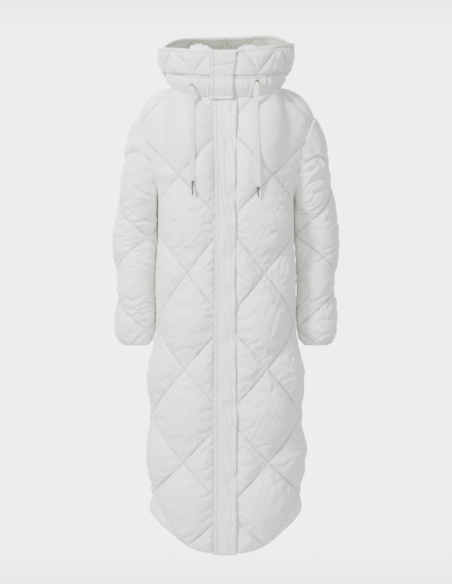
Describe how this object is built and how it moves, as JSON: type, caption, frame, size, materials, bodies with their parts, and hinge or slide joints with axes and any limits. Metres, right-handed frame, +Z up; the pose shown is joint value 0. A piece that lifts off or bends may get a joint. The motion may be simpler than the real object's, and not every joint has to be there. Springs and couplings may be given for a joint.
{
  "type": "long puffer coat",
  "caption": "Long hooded puffer coat with diamond quilting, snap placket, zip and drawstrings, filled out hollow with its arms down.",
  "frame": {"origin": "middle of the neck opening, level with where the shoulders meet the neck, where the wearer holds the coat", "axes": "+Z up, the coat's front faces -Y, +X towards the wearer's left"},
  "size_m": [0.6117, 0.398, 1.3971],
  "materials": {
    "shell": "soft-sheen woven nylon over down filling, diamond quilted",
    "facing": "soft cool-white lining fabric",
    "zip": "matt woven tape with moulded teeth",
    "cord": "flat braided cord",
    "eyelet": "dark bronzed metal",
    "tip": "dark burnished metal"
  },
  "bodies": {
    "root": {"front_left": "shell", "front_right": "shell", "back": "shell", "sleeve_left": "shell", "sleeve_right": "shell", "hood_left": "shell", "hood_right": "shell", "hood_band": "shell", "hood_flap": "shell", "placket": "shell", "hood_facing_left": "facing", "hood_facing_right": "facing", "zip": "zip", "eyelet_left": "eyelet", "eyelet_right": "eyelet", "cord_left": "cord", "cord_right": "cord", "cord_tip_left": "tip", "cord_tip_right": "tip"}
  },
  "joints": []
}
